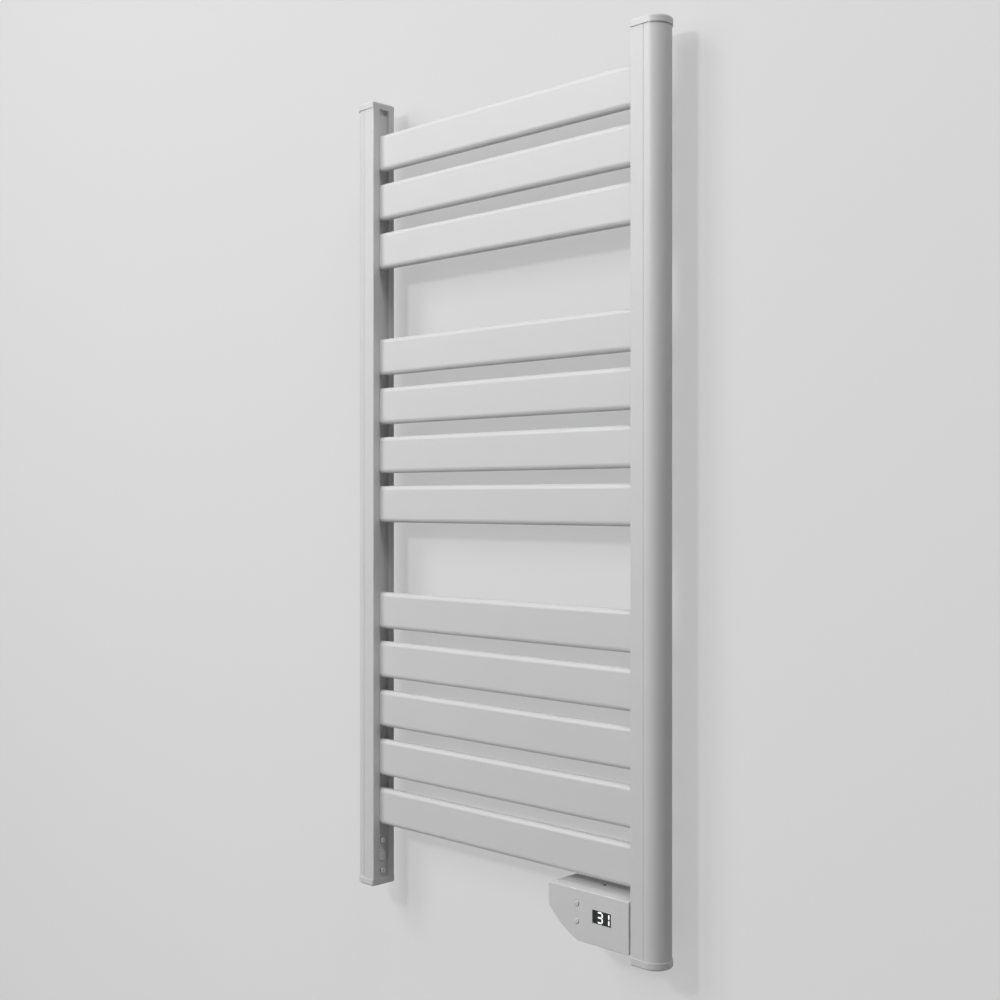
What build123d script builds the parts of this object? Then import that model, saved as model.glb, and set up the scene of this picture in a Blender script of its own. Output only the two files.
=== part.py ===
from build123d import *
import os

# Wall-hung, fluid-filled electric towel radiator, in millimetres.
# +X is the viewer's right, +Y goes into the wall, +Z is up.
# The origin is the centre of the four wall screw holes, on the wall plane.

os.makedirs("parts", exist_ok=True)

# Overall sizes
post_gap = 405.0            # clear width between the two posts
front_to_wall = 55.0        # front of the posts to the wall

# Posts: aluminium extrusion with a D section
post_width = 36.5
post_depth = 33.5
post_wall = 2.0
post_edge_radius = 1.2      # rounding of the two inner edges
channel_setback = 10.0      # front of the post to the front side of the inner channel
channel_width = 14.8
channel_depth = 4.5
slot_opening = 8.0          # rear slot that carries the wall brackets
slot_width = 14.0
slot_depth = 3.4
slot_lip = 1.8
peg_hole = 3.3              # round ports beside the channel for the cap pegs
peg_inset = 3.3             # inner side of the post to the peg holes
groove_inset = 17.5         # fine line down the front of each post
groove_width = 0.9
groove_depth = 0.35

# End caps and end plugs
cap_height = 8.0
cap_overhang = 1.0          # on the front, outer side and back; flush on the inner side
cap_edge = 2.5
cap_roof = 2.5
spigot_length = 4.0
spigot_wall = 1.5
peg_length = 6.0
plug_below_end = 6.0        # end of the post to the top plugs
plug_thickness = 10.0
seal_height = 2.4
seal_width = 1.8
fill_hole = 10.0
fill_head = 14.0
fill_head_height = 3.5
fill_socket = 5.0
washer_thickness = 1.5

# Bars: flat tubes in three groups, counted from the top
bar_height = 44.5
bar_thickness = 12.0
bar_corner = 5.5
bar_wall = 1.3
bar_pitch = 60.0
group_step = 130.0          # from the last bar of a group to the first of the next
bars_per_group = (3, 4, 5)
top_margin = 40.5           # top of the radiator to the first bar
bar_end_gap = 0.3           # end of a bar to the bottom of the channel
fitting_length = 10.0
passage_height = 24.0       # oblong spigot that lets the fluid through
passage_width = 6.0
passage_wall = 1.4
spigot_reach = 1.5          # how far a spigot stands into the post's chamber
gasket_width = 1.2
gasket_recess = 0.9

# Wall brackets: a hanger arm on the back of each post plugs into a cup on the wall
bracket_inset = 2.5         # bracket's middle inward from the post's inner side
bracket_shift = 9.0         # bracket's middle beyond the middle of the bar in front of it
arm_thickness = 3.0
arm_height = 18.0
arm_past_screw = 6.5
cup_diameter = 24.0
cup_floor = 4.0
cup_pocket = 16.0
cup_to_arm = 2.5
cup_edge = 0.6
wall_hole = 5.5
stem_diameter = 15.7
stem_edge = 0.6
stem_head_room = 5.0        # between the cup's floor and the stem, for the wall screw's head
hanger_screw = 5.0
hanger_screw_head = 8.5
hanger_screw_head_height = 2.5
hanger_screw_socket = 4.2
key_height = 14.0
grub_screw = 4.0
grub_from_rim = 3.5

# Controller box
controller_proud = 1.0      # in front of the posts
controller_gap = 0.9        # between the box and the post
controller_width = 111.2
controller_height = 54.2
controller_depth = 46.0
controller_below_bar = 11.0
controller_above_bottom = 9.8
controller_left_edge = 23.5
controller_cut_run = 42.0   # how far the curved cut reaches along the bottom edge
controller_cut_bulge = 3.4
controller_corner = 1.0
controller_front_edge = 0.8
cover_depth = 11.0
shell_wall = 2.0
face_line = 24.2            # top of the box to the line through display and buttons

# Display, buttons and circuit board
display_width = 25.5
display_height = 14.1
display_inset = 36.2        # right side of the box to the middle of the display
window_thickness = 1.6
window_rim = 1.4
window_rim_thickness = 0.8
module_inset = 0.5
module_edge = 0.4
button_inset = 40.4         # left side of the box to the buttons
button_spacing = 18.5
button_diameter = 6.6
button_flange = 9.0
button_flange_thickness = 0.9
button_stem = 3.0
button_travel = 0.8
button_proud = 1.0          # in front of the cover
button_edge = 0.8
switch_size = 6.2
switch_height = 3.5
switch_body = 2.8           # height of the square body below the switch's cap
switch_cap = 3.5
board_setback = 8.5         # front of the box to the front of the board
board_thickness = 1.6
board_left = 24.0           # board edges from the box's outline
board_right = 17.0
board_top = 3.5
board_height = 36.0
board_peg = 2.0
board_peg_foot = 5.0
board_peg_margin = 0.5

# Parts behind the board
terminal_length = 16.0
terminal_depth = 14.0
terminal_height = 15.0
terminal_screw = 2.5
terminal_recess = 0.8
relay_width = 20.0
relay_height = 15.5
relay_depth = 14.0
relay_inset = 52.0
relay_edge = 0.8
sensor_inset = 58.7         # right side of the box to the room sensor
sensor_setback = 31.5       # front of the box to the sensor's hole
sensor_hole = 4.2
sensor_drop = 3.0           # inside of the box's top to the bead
sensor_bead = 2.4
sensor_leg = 0.7
inlet_hole = 9.0
inlet_bore = 6.6
inlet_flange = 13.0
inlet_flange_thickness = 1.5
inlet_inset = 32.0
inlet_drop = 36.0

# Fixings of the controller and the box's screws
lead_drop = 28.5            # top of the box to the middle of the lead slot
mount_screw = 4.0
mount_screw_spacing = 37.0
mount_screw_head = 6.6
mount_screw_head_height = 2.2
mount_screw_edge = 0.7
mount_screw_reach = 4.0     # beyond the inner side of the post's wall
foot_width = 14.2
foot_height = 50.0
lead_slot_height = 11.5
lead_slot_width = 7.0
cover_screw = 3.0
cover_screw_head = 5.5
cover_screw_head_height = 2.0
cover_screw_grip = 8.0
cover_screw_reach = 6.0
boss_diameter = 7.6
boss_inset = 6.5            # screw bosses from the box's edges
boss_inset_right = 12.0     # leaves room for the mounting screws' heads

# Heating element and its leads
boss_plug_thickness = 14.0
boss_plug_above_controller = 2.0   # top of the controller to the element boss
element_thread = 16.6
element_tube = 11.0
element_length = 380.0
element_tip = 4.9           # rounding of the sheath's end
element_hexagon = 19.0
element_head_height = 7.0
element_pin = 2.0
element_pin_length = 5.0
element_pin_spacing = 8.0
earth_inset = 1.6           # chamber wall to the middle of the earth lead
lead_diameter = 2.2
lead_pitch = 3.5
lead_start_depth = 7.0
lead_bend = 0.45            # share of a lead's shorter leg that its bend takes
cutout_diameter = 12.0
cutout_thickness = 6.0
cutout_drop = 40.0
cutout_tab = 0.8
cutout_tab_width = 4.0
cutout_tab_length = 3.0
blank_flange = 1.2
blank_edge = 0.6
blank_rim = 1.3
blank_depth = 6.0

# Clearances
slide_fit = 0.1             # pegs, spigots and plugs, each side
thread_fit = 0.05           # screws in their holes, each side
button_fit = 0.35
seat_gap = 0.2              # between parts that face each other without touching
cut_past = 1.0              # how far a cut runs past the face it opens
thread_short = 1.0          # how far a thread stops inside the far face

# Derived places
inner_x = post_gap / 2
post_front = -front_to_wall
post_back = post_front + post_depth
round_offset = post_width - post_depth / 2
post_centre_x = inner_x + post_width / 2
channel_y = post_front + channel_setback + channel_width / 2
chamber_start = channel_depth + post_wall
chamber_back = post_back - slot_lip - slot_depth - post_wall
bar_y = post_front + channel_setback + seat_gap + bar_thickness / 2


def bar_depths():
    """Distance of each bar's middle below the top of the radiator."""
    depths = []
    depth = top_margin + bar_height / 2
    for count in bars_per_group:
        for _ in range(count):
            depths.append(depth)
            depth += bar_pitch
        depth += group_step - bar_pitch
    return depths


# The wall brackets are behind the second bar from each end
top_z = (bar_depths()[1] + bar_depths()[-2]) / 2
bar_levels = [top_z - depth for depth in bar_depths()]
box_top = bar_levels[-1] - bar_height / 2 - controller_below_bar
box_bottom = box_top - controller_height
bottom_z = box_bottom - controller_above_bottom
bracket_levels = (bar_levels[1] + bracket_shift, bar_levels[-2] - bracket_shift)
post_top = top_z - cap_height
post_bottom = bottom_z + cap_height
post_length = post_top - post_bottom

box_front = post_front - controller_proud
box_back = box_front + controller_depth
box_joint = box_front + cover_depth
box_right = inner_x - controller_gap
box_left = box_right - controller_width
face_z = box_top - face_line
board_front = box_front + board_setback
board_back = board_front + board_thickness
lead_z = box_top - lead_drop
mount_levels = (lead_z + mount_screw_spacing / 2, lead_z - mount_screw_spacing / 2)
boss_top = box_top + boss_plug_above_controller + boss_plug_thickness
boss_bottom = boss_top - boss_plug_thickness
chamber_x = inner_x + (chamber_start + post_width - post_wall) / 2
chamber_y = (post_front + post_wall + chamber_back) / 2


def save(piece, name):
    """Label one finished piece and write it to its own file."""
    piece.part.label = name
    export_step(piece.part, f"parts/{name}.step")


def facing_plane(y):
    """Plane at depth y that faces the viewer, with X to the right and Z up."""
    return Plane.XZ.offset(-y)


def side_x(side, inset):
    """X of a point that is inset from a post's inner side (side is -1 left, +1 right)."""
    return side * (inner_x + inset)


def draw_rectangle(x_a, x_b, y_a, y_b, mode=Mode.ADD):
    """Rectangle in the open sketch between two opposite corners."""
    with Locations(((x_a + x_b) / 2, (y_a + y_b) / 2)):
        Rectangle(abs(x_b - x_a), abs(y_b - y_a), mode=mode)


def d_outline(side, grow=0.0, inner_grow=0.0, corner=0.0):
    """D outline of a post: flat front, inner side and back, half-round outer side.

    grow moves the outline outwards all round, but for the inner side, which inner_grow moves.
    """
    front = post_front - grow
    back = post_back + grow
    near = side_x(side, -inner_grow)
    tangent = side_x(side, round_offset)
    tip = side_x(side, post_width + grow)
    with BuildSketch() as outline:
        with BuildLine():
            if corner > 0:
                FilletPolyline((tangent, front), (near, front), (near, back), (tangent, back), radius=corner)
            else:
                Polyline((tangent, front), (near, front), (near, back), (tangent, back))
            ThreePointArc((tangent, back), (tip, (front + back) / 2), (tangent, front))
        make_face()
    return outline.sketch


def chamber_outline(side, grow=0.0):
    """Inside outline of a post's fluid chamber."""
    with BuildSketch() as chamber:
        add(d_outline(side, grow - post_wall, grow - post_wall))
        draw_rectangle(side_x(side, -post_width), side_x(side, chamber_start - grow),
                       post_front - post_depth, post_back + post_depth, mode=Mode.SUBTRACT)
        draw_rectangle(side_x(side, -post_width), side_x(side, 2 * post_width),
                       chamber_back + grow, post_back + post_depth, mode=Mode.SUBTRACT)
    return chamber.sketch


def peg_places(side):
    """Middles of the two peg holes, in front of and behind the inner channel."""
    front_flange = post_front + channel_setback / 2
    rear_flange = (post_front + channel_setback + channel_width + post_back) / 2
    return [(side_x(side, peg_inset), front_flange), (side_x(side, peg_inset), rear_flange)]


def make_post(side, name):
    """One upright: D extrusion with inner channel, rear slot, chamber and its cross holes."""
    with BuildPart() as post:
        with BuildSketch(Plane.XY.offset(post_bottom)):
            add(d_outline(side, corner=post_edge_radius))
            # Inner channel that takes the bars' ends
            draw_rectangle(side_x(side, -cut_past), side_x(side, channel_depth),
                           channel_y - channel_width / 2, channel_y + channel_width / 2,
                           mode=Mode.SUBTRACT)
            # Rear T-shaped slot for the brackets
            draw_rectangle(side * post_centre_x - slot_opening / 2, side * post_centre_x + slot_opening / 2,
                           post_back - slot_lip - cut_past, post_back + cut_past, mode=Mode.SUBTRACT)
            draw_rectangle(side * post_centre_x - slot_width / 2, side * post_centre_x + slot_width / 2,
                           post_back - slot_lip - slot_depth, post_back - slot_lip, mode=Mode.SUBTRACT)
            # Fine groove down the front
            draw_rectangle(side_x(side, groove_inset - groove_width / 2),
                           side_x(side, groove_inset + groove_width / 2),
                           post_front - cut_past, post_front + groove_depth, mode=Mode.SUBTRACT)
            with Locations(*peg_places(side)):
                Circle(peg_hole / 2, mode=Mode.SUBTRACT)
        extrude(amount=post_length)
        with BuildSketch(Plane.XY.offset(post_bottom)):
            add(chamber_outline(side))
        extrude(amount=post_length, mode=Mode.SUBTRACT)
        # Passages from the bars into the chamber
        with BuildSketch(Plane.YZ.offset(side_x(side, channel_depth - cut_past))):
            with Locations(*[(bar_y, z) for z in bar_levels]):
                SlotOverall(passage_height + 2 * slide_fit, passage_width + 2 * slide_fit, rotation=90)
        extrude(amount=side * (post_wall + 2 * cut_past), mode=Mode.SUBTRACT)
        # Slot for the leads and two screw holes, on both posts
        with BuildSketch(Plane.YZ.offset(side_x(side, channel_depth - cut_past))):
            with Locations((channel_y, lead_z)):
                SlotOverall(lead_slot_height, lead_slot_width, rotation=90)
            with Locations(*[(channel_y, z) for z in mount_levels]):
                Circle(mount_screw / 2 + thread_fit)
        extrude(amount=side * (post_wall + 2 * cut_past), mode=Mode.SUBTRACT)
    save(post, name)


def make_cap(side, upper, name):
    """Push-in end cap: overhanging D plate with a spigot in the chamber and two pegs."""
    direction = 1 if upper else -1
    seat = post_top if upper else post_bottom
    with BuildPart() as cap:
        with BuildSketch(Plane.XY.offset(seat)):
            add(d_outline(side, cap_overhang, corner=post_edge_radius + cap_overhang))
        extrude(amount=direction * cap_height)
        outer_face = cap.faces().sort_by(Axis.Z)[-1 if upper else 0]
        fillet(outer_face.edges(), cap_edge)
        with BuildSketch(Plane.XY.offset(seat)):
            add(chamber_outline(side, -slide_fit))
        extrude(amount=-direction * spigot_length)
        with BuildSketch(Plane.XY.offset(seat - direction * spigot_length)):
            add(chamber_outline(side, -slide_fit - spigot_wall))
        extrude(amount=direction * (spigot_length + cap_height - cap_roof), mode=Mode.SUBTRACT)
        with BuildSketch(Plane.XY.offset(seat)):
            with Locations(*peg_places(side)):
                Circle(peg_hole / 2 - slide_fit)
        extrude(amount=-direction * peg_length)
    save(cap, name)


def plug_body(side, low, thickness):
    """Chamber plug with a groove round it for its seal."""
    with BuildPart() as body:
        with BuildSketch(Plane.XY.offset(low)):
            add(chamber_outline(side, -slide_fit))
        extrude(amount=thickness)
        with BuildSketch(Plane.XY.offset(low + (thickness - seal_height) / 2)):
            add(chamber_outline(side, cut_past))
            add(chamber_outline(side, -seal_width), mode=Mode.SUBTRACT)
        extrude(amount=seal_height, mode=Mode.SUBTRACT)
    return body.part


top_plug_low = post_top - plug_below_end - plug_thickness
left_plug_low = boss_top - plug_thickness


def make_plugs():
    """Top plug of each post and the left post's bottom plug."""
    with BuildPart() as plug:
        add(plug_body(-1, top_plug_low, plug_thickness))
        with Locations((-chamber_x, chamber_y, top_plug_low + plug_thickness)):
            Hole(fill_hole / 2 + thread_fit)
    save(plug, "top_plug_left")
    with BuildPart() as plug:
        add(plug_body(1, top_plug_low, plug_thickness))
    save(plug, "top_plug_right")
    with BuildPart() as plug:
        add(plug_body(-1, left_plug_low, plug_thickness))
    save(plug, "bottom_plug_left")


def make_fill_screw():
    """Socket-head filling screw in the left top plug, with its sealing washer."""
    seat = top_plug_low + plug_thickness
    with BuildPart() as washer:
        with BuildSketch(Plane.XY.offset(seat)):
            with Locations((-chamber_x, chamber_y)):
                Circle(fill_head / 2)
                Circle(fill_hole / 2 + slide_fit, mode=Mode.SUBTRACT)
        extrude(amount=washer_thickness)
    save(washer, "fill_washer")
    with BuildPart() as screw:
        with BuildSketch(Plane.XY.offset(seat + washer_thickness)):
            with Locations((-chamber_x, chamber_y)):
                Circle(fill_head / 2)
        extrude(amount=fill_head_height)
        with BuildSketch(Plane.XY.offset(seat + washer_thickness)):
            with Locations((-chamber_x, chamber_y)):
                Circle(fill_hole / 2)
        extrude(amount=-(washer_thickness + plug_thickness - thread_short))
        with BuildSketch(Plane.XY.offset(seat + washer_thickness + fill_head_height)):
            with Locations((-chamber_x, chamber_y)):
                RegularPolygon(fill_socket / 2, 6)
        extrude(amount=-fill_head_height, mode=Mode.SUBTRACT)
    save(screw, "fill_screw")


def make_element_boss():
    """Threaded boss that closes the right post's chamber and carries the element."""
    with BuildPart() as boss:
        add(plug_body(1, boss_bottom, boss_plug_thickness))
        with Locations((chamber_x, chamber_y, boss_top)):
            Hole(element_thread / 2 + thread_fit)
    save(boss, "element_boss")


def make_plug_seals():
    """Ring seals round the four plugs."""
    lows = [
        (-1, top_plug_low + (plug_thickness - seal_height) / 2),
        (1, top_plug_low + (plug_thickness - seal_height) / 2),
        (-1, left_plug_low + (plug_thickness - seal_height) / 2),
        (1, boss_bottom + (boss_plug_thickness - seal_height) / 2),
    ]
    with BuildPart() as seals:
        for side, low in lows:
            with BuildSketch(Plane.XY.offset(low)):
                add(chamber_outline(side))
                add(chamber_outline(side, -seal_width), mode=Mode.SUBTRACT)
            extrude(amount=seal_height)
    save(seals, "plug_seals")


def make_bar(number, z):
    """One flat tube between the posts, its ends in the posts' channels."""
    length = post_gap + 2 * (channel_depth - bar_end_gap)
    with BuildPart() as bar:
        with BuildSketch(Plane.YZ.offset(-length / 2)):
            with Locations((bar_y, z)):
                RectangleRounded(bar_thickness, bar_height, bar_corner)
                RectangleRounded(bar_thickness - 2 * bar_wall, bar_height - 2 * bar_wall,
                                 bar_corner - bar_wall, mode=Mode.SUBTRACT)
        extrude(amount=length)
    save(bar, f"bar_{number:02d}")


def make_bar_ends():
    """End fittings with their oblong spigots, and the gaskets on the spigots."""
    places = [(bar_y, z) for z in bar_levels]
    inner_wall = bar_wall + slide_fit
    with BuildPart() as fittings:
        for side in (-1, 1):
            bar_end = side_x(side, channel_depth - bar_end_gap)
            with BuildSketch(Plane.YZ.offset(bar_end)):
                with Locations(*places):
                    RectangleRounded(bar_thickness - 2 * inner_wall, bar_height - 2 * inner_wall,
                                     bar_corner - inner_wall)
            extrude(amount=-side * fitting_length)
            with BuildSketch(Plane.YZ.offset(bar_end)):
                with Locations(*places):
                    SlotOverall(passage_height + 2 * gasket_width, passage_width + 2 * gasket_width,
                                rotation=90)
            extrude(amount=-side * gasket_recess, mode=Mode.SUBTRACT)
            with BuildSketch(Plane.YZ.offset(bar_end - side * gasket_recess)):
                with Locations(*places):
                    SlotOverall(passage_height, passage_width, rotation=90)
            extrude(amount=side * (gasket_recess + bar_end_gap + post_wall + spigot_reach))
            with BuildSketch(Plane.YZ.offset(bar_end - side * fitting_length)):
                with Locations(*places):
                    SlotOverall(passage_height - 2 * passage_wall, passage_width - 2 * passage_wall,
                                rotation=90)
            extrude(amount=side * (fitting_length + bar_end_gap + post_wall + spigot_reach),
                    mode=Mode.SUBTRACT)
    save(fittings, "bar_end_fittings")
    with BuildPart() as seals:
        for side in (-1, 1):
            with BuildSketch(Plane.YZ.offset(side_x(side, channel_depth))):
                with Locations(*places):
                    SlotOverall(passage_height + 2 * gasket_width, passage_width + 2 * gasket_width,
                                rotation=90)
                    SlotOverall(passage_height, passage_width, rotation=90, mode=Mode.SUBTRACT)
            extrude(amount=-side * (gasket_recess + bar_end_gap))
    save(seals, "bar_end_seals")


# Wall brackets
bracket_x = inner_x - bracket_inset
bracket_places = {
    "upper_left": (-bracket_x, bracket_levels[0]),
    "upper_right": (bracket_x, bracket_levels[0]),
    "lower_left": (-bracket_x, bracket_levels[1]),
    "lower_right": (bracket_x, bracket_levels[1]),
}
screw_places = [(side * post_centre_x, z) for z in bracket_levels for side in (-1, 1)]
arm_back = post_back + arm_thickness
cup_front = arm_back + cup_to_arm
stem_rear = -cup_floor - stem_head_room
slot_floor = post_back - slot_lip - slot_depth
nut_thickness = slot_depth - seat_gap
grub_y = cup_front + grub_from_rim


def make_wall_cup(corner, place):
    """Cup screwed to the wall, open to the front for the stem, with a locking screw hole."""
    x, z = place
    with BuildPart() as cup:
        with BuildSketch(facing_plane(0)):
            with Locations(place):
                Circle(cup_diameter / 2)
        extrude(amount=-cup_front)
        fillet(cup.faces().sort_by(Axis.Y)[0].edges(), cup_edge)
        with BuildSketch(facing_plane(-cup_floor)):
            with Locations(place):
                Circle(cup_pocket / 2)
        extrude(amount=-cup_front, mode=Mode.SUBTRACT)
        with BuildSketch(facing_plane(0)):
            with Locations(place):
                Circle(wall_hole / 2)
        extrude(amount=2 * cup_floor, mode=Mode.SUBTRACT)
        with BuildSketch(Plane.XY.offset(z - cup_diameter)):
            with Locations((x, grub_y)):
                Circle(grub_screw / 2 + thread_fit)
        extrude(amount=cup_diameter, mode=Mode.SUBTRACT)
    save(cup, f"wall_cup_{corner}")


def make_hanger(corner, place):
    """Arm on the back of a post, keyed into its slot, with a stem that plugs into the cup."""
    x, z = place
    side = 1 if x > 0 else -1
    near = x - side * arm_height / 2
    far = side * (post_centre_x + arm_past_screw)
    with BuildPart() as hanger:
        with BuildSketch(facing_plane(arm_back)):
            with Locations(((near + far) / 2, z)):
                SlotOverall(abs(far - near), arm_height)
        extrude(amount=arm_thickness)
        with BuildSketch(facing_plane(stem_rear)):
            with Locations(place):
                Circle(stem_diameter / 2)
        extrude(amount=stem_rear - arm_back)
        chamfer(hanger.faces().sort_by(Axis.Y)[-1].edges(), stem_edge)
        with BuildSketch(facing_plane(post_back)):
            with Locations((side * post_centre_x, z)):
                Rectangle(slot_opening - 2 * seat_gap, key_height)
        extrude(amount=slot_lip - seat_gap)
        with BuildSketch(facing_plane(arm_back)):
            with Locations((side * post_centre_x, z)):
                Circle(hanger_screw / 2 + slide_fit)
        extrude(amount=arm_back - slot_floor, mode=Mode.SUBTRACT)
    save(hanger, f"hanger_{corner}")


def make_bracket_fixings():
    """Slot nuts, the screws that clamp the hangers to them, and the cups' locking screws."""
    nut_rear = post_back - slot_lip
    with BuildPart() as nuts:
        with BuildSketch(facing_plane(nut_rear)):
            with Locations(*screw_places):
                Rectangle(slot_width - 2 * seat_gap, slot_width)
                Circle(hanger_screw / 2 + thread_fit, mode=Mode.SUBTRACT)
        extrude(amount=nut_thickness)
    save(nuts, "slot_nuts")
    with BuildPart() as screws:
        with BuildSketch(facing_plane(arm_back)):
            with Locations(*screw_places):
                Circle(hanger_screw / 2)
        extrude(amount=arm_back - nut_rear + nut_thickness - seat_gap)
        with BuildSketch(facing_plane(arm_back)):
            with Locations(*screw_places):
                Circle(hanger_screw_head / 2)
        extrude(amount=-hanger_screw_head_height)
        with BuildSketch(facing_plane(arm_back + hanger_screw_head_height)):
            with Locations(*screw_places):
                RegularPolygon(hanger_screw_socket / 2, 6)
        extrude(amount=hanger_screw_head_height / 2, mode=Mode.SUBTRACT)
    save(screws, "hanger_screws")
    with BuildPart() as grubs:
        for x, z in bracket_places.values():
            with BuildSketch(Plane.XY.offset(z - stem_diameter / 2)):
                with Locations((x, grub_y)):
                    Circle(grub_screw / 2)
            extrude(amount=-(cup_diameter - stem_diameter) / 2)
    save(grubs, "bracket_grub_screws")


# Controller
def box_outline(inset=0.0):
    """Front view of the controller: a rectangle whose lower left corner is cut in a curve."""
    cut_start = (box_left, box_top - controller_left_edge)
    cut_end = (box_left + controller_cut_run, box_bottom)
    with BuildSketch() as outline:
        with BuildLine():
            Polyline(cut_start, (box_left, box_top), (box_right, box_top), (box_right, box_bottom), cut_end)
            SagittaArc(cut_end, cut_start, controller_cut_bulge)
        make_face()
        fillet(outline.vertices(), controller_corner)
        if inset > 0:
            offset(amount=-inset, kind=Kind.INTERSECTION)
    return outline.sketch


boss_places = [
    (box_left + boss_inset, box_top - boss_inset),
    (box_right - boss_inset_right, box_top - boss_inset),
    (box_right - boss_inset_right, box_bottom + boss_inset),
    (box_left + controller_cut_run + boss_inset, box_bottom + boss_inset),
]
button_x = box_left + button_inset
button_places = {
    "button_up": (button_x, face_z + button_spacing / 2),
    "button_down": (button_x, face_z - button_spacing / 2),
}
display_place = (box_right - display_inset, face_z)
board_x_low = box_left + board_left
board_x_high = box_right - board_right
board_z_high = box_top - board_top
board_z_low = board_z_high - board_height
peg_edge = board_peg_foot / 2 + board_peg_margin
board_pegs = [
    (board_x_low + peg_edge, board_z_high - peg_edge),
    (board_x_high - peg_edge, board_z_high - peg_edge),
    (board_x_high - terminal_length - peg_edge, board_z_low + peg_edge),
    (board_x_low + peg_edge, board_z_low + peg_edge),
]


def make_front_cover():
    """Front shell with the display opening, button holes, screw bosses and board pegs."""
    with BuildPart() as cover:
        with BuildSketch(facing_plane(box_joint)):
            add(box_outline())
        extrude(amount=cover_depth)
        fillet(cover.faces().sort_by(Axis.Y)[0].edges(), controller_front_edge)
        with BuildSketch(facing_plane(box_joint)):
            add(box_outline(shell_wall))
        extrude(amount=cover_depth - shell_wall, mode=Mode.SUBTRACT)
        with BuildSketch(facing_plane(box_joint)):
            with Locations(*boss_places):
                Circle(boss_diameter / 2)
        extrude(amount=cover_depth - shell_wall)
        with BuildSketch(facing_plane(board_front)):
            with Locations(*board_pegs):
                Circle(board_peg_foot / 2)
        extrude(amount=board_setback - shell_wall)
        with BuildSketch(facing_plane(board_back + seat_gap)):
            with Locations(*board_pegs):
                Circle(board_peg / 2)
        extrude(amount=board_thickness + seat_gap)
        with BuildSketch(facing_plane(box_joint)):
            with Locations(*boss_places):
                Circle(cover_screw / 2 + thread_fit)
        extrude(amount=cover_screw_reach + thread_short, mode=Mode.SUBTRACT)
        with BuildSketch(facing_plane(box_joint)):
            with Locations(display_place):
                Rectangle(display_width, display_height)
            with Locations(*button_places.values()):
                Circle(button_diameter / 2 + button_fit)
        extrude(amount=cover_depth + cut_past, mode=Mode.SUBTRACT)
    save(cover, "controller_front_cover")


def make_rear_housing():
    """Rear shell with screw columns, the foot in the post's channel, and its openings."""
    housing_depth = controller_depth - cover_depth
    foot_end = side_x(1, channel_depth - seat_gap)
    with BuildPart() as housing:
        with BuildSketch(facing_plane(box_back)):
            add(box_outline())
        extrude(amount=housing_depth)
        fillet(housing.faces().sort_by(Axis.Y)[-1].edges(), controller_front_edge)
        with BuildSketch(facing_plane(box_back - shell_wall)):
            add(box_outline(shell_wall))
        extrude(amount=housing_depth, mode=Mode.SUBTRACT)
        # Columns for the cover screws, kept inside the outline
        with BuildSketch(facing_plane(box_back - shell_wall)):
            with Locations(*boss_places):
                Circle(boss_diameter / 2)
        extrude(amount=housing_depth - shell_wall)
        with BuildSketch(facing_plane(box_back)):
            with Locations(*boss_places):
                Circle(cover_screw_head / 2 + 2 * slide_fit)
        extrude(amount=housing_depth - cover_screw_grip, mode=Mode.SUBTRACT)
        with BuildSketch(facing_plane(box_back)):
            with Locations(*boss_places):
                Circle(cover_screw / 2 + slide_fit)
        extrude(amount=housing_depth, mode=Mode.SUBTRACT)
        # Foot that stands in the post's channel
        with BuildSketch(Plane.YZ.offset(box_right - shell_wall / 2)):
            with Locations((channel_y, lead_z)):
                Rectangle(foot_width, foot_height)
        extrude(amount=foot_end - box_right + shell_wall / 2)
        with BuildSketch(Plane.YZ.offset(box_right - 2 * shell_wall)):
            with Locations((channel_y, lead_z)):
                SlotOverall(lead_slot_height, lead_slot_width, rotation=90)
            with Locations(*[(channel_y, z) for z in mount_levels]):
                Circle(mount_screw / 2 + slide_fit)
        extrude(amount=2 * shell_wall + controller_gap + channel_depth, mode=Mode.SUBTRACT)
        # Room sensor hole in the top, supply inlet in the back
        with BuildSketch(Plane.XY.offset(box_top + cut_past)):
            with Locations((box_right - sensor_inset, box_front + sensor_setback)):
                Circle(sensor_hole / 2)
        extrude(amount=-(shell_wall + 2 * cut_past), mode=Mode.SUBTRACT)
        with BuildSketch(facing_plane(box_back + cut_past)):
            with Locations((box_right - inlet_inset, box_top - inlet_drop)):
                Circle(inlet_hole / 2)
        extrude(amount=shell_wall + 2 * cut_past, mode=Mode.SUBTRACT)
    save(housing, "controller_rear_housing")


def make_controller_screws():
    """Cover screws driven from the back, and the two screws into the post."""
    head_seat = box_joint + cover_screw_grip
    with BuildPart() as screws:
        with BuildSketch(facing_plane(head_seat)):
            with Locations(*boss_places):
                Circle(cover_screw / 2)
        extrude(amount=cover_screw_grip + cover_screw_reach)
        with BuildSketch(facing_plane(head_seat)):
            with Locations(*boss_places):
                Circle(cover_screw_head / 2)
        extrude(amount=-cover_screw_head_height)
    save(screws, "cover_screws")
    make_pan_screws(1, box_right - shell_wall, "controller_mounting_screws")
    make_pan_screws(-1, side_x(-1, channel_depth), "blanking_screws")


def make_pan_screws(side, head_x, name):
    """Two pan-head screws into a post's inner wall, their heads seated at head_x."""
    reach = side_x(side, chamber_start + mount_screw_reach) - head_x
    places = [(channel_y, z) for z in mount_levels]
    with BuildPart() as screws:
        with BuildSketch(Plane.YZ.offset(head_x)):
            with Locations(*places):
                Circle(mount_screw / 2)
        extrude(amount=reach)
        with BuildSketch(Plane.YZ.offset(head_x)):
            with Locations(*places):
                Circle(mount_screw_head / 2)
        extrude(amount=-side * mount_screw_head_height)
        across = screws.faces().group_by(Axis.X)
        head_faces = across[0] if side > 0 else across[-1]
        fillet(head_faces.edges(), mount_screw_edge)
    save(screws, name)


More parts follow.
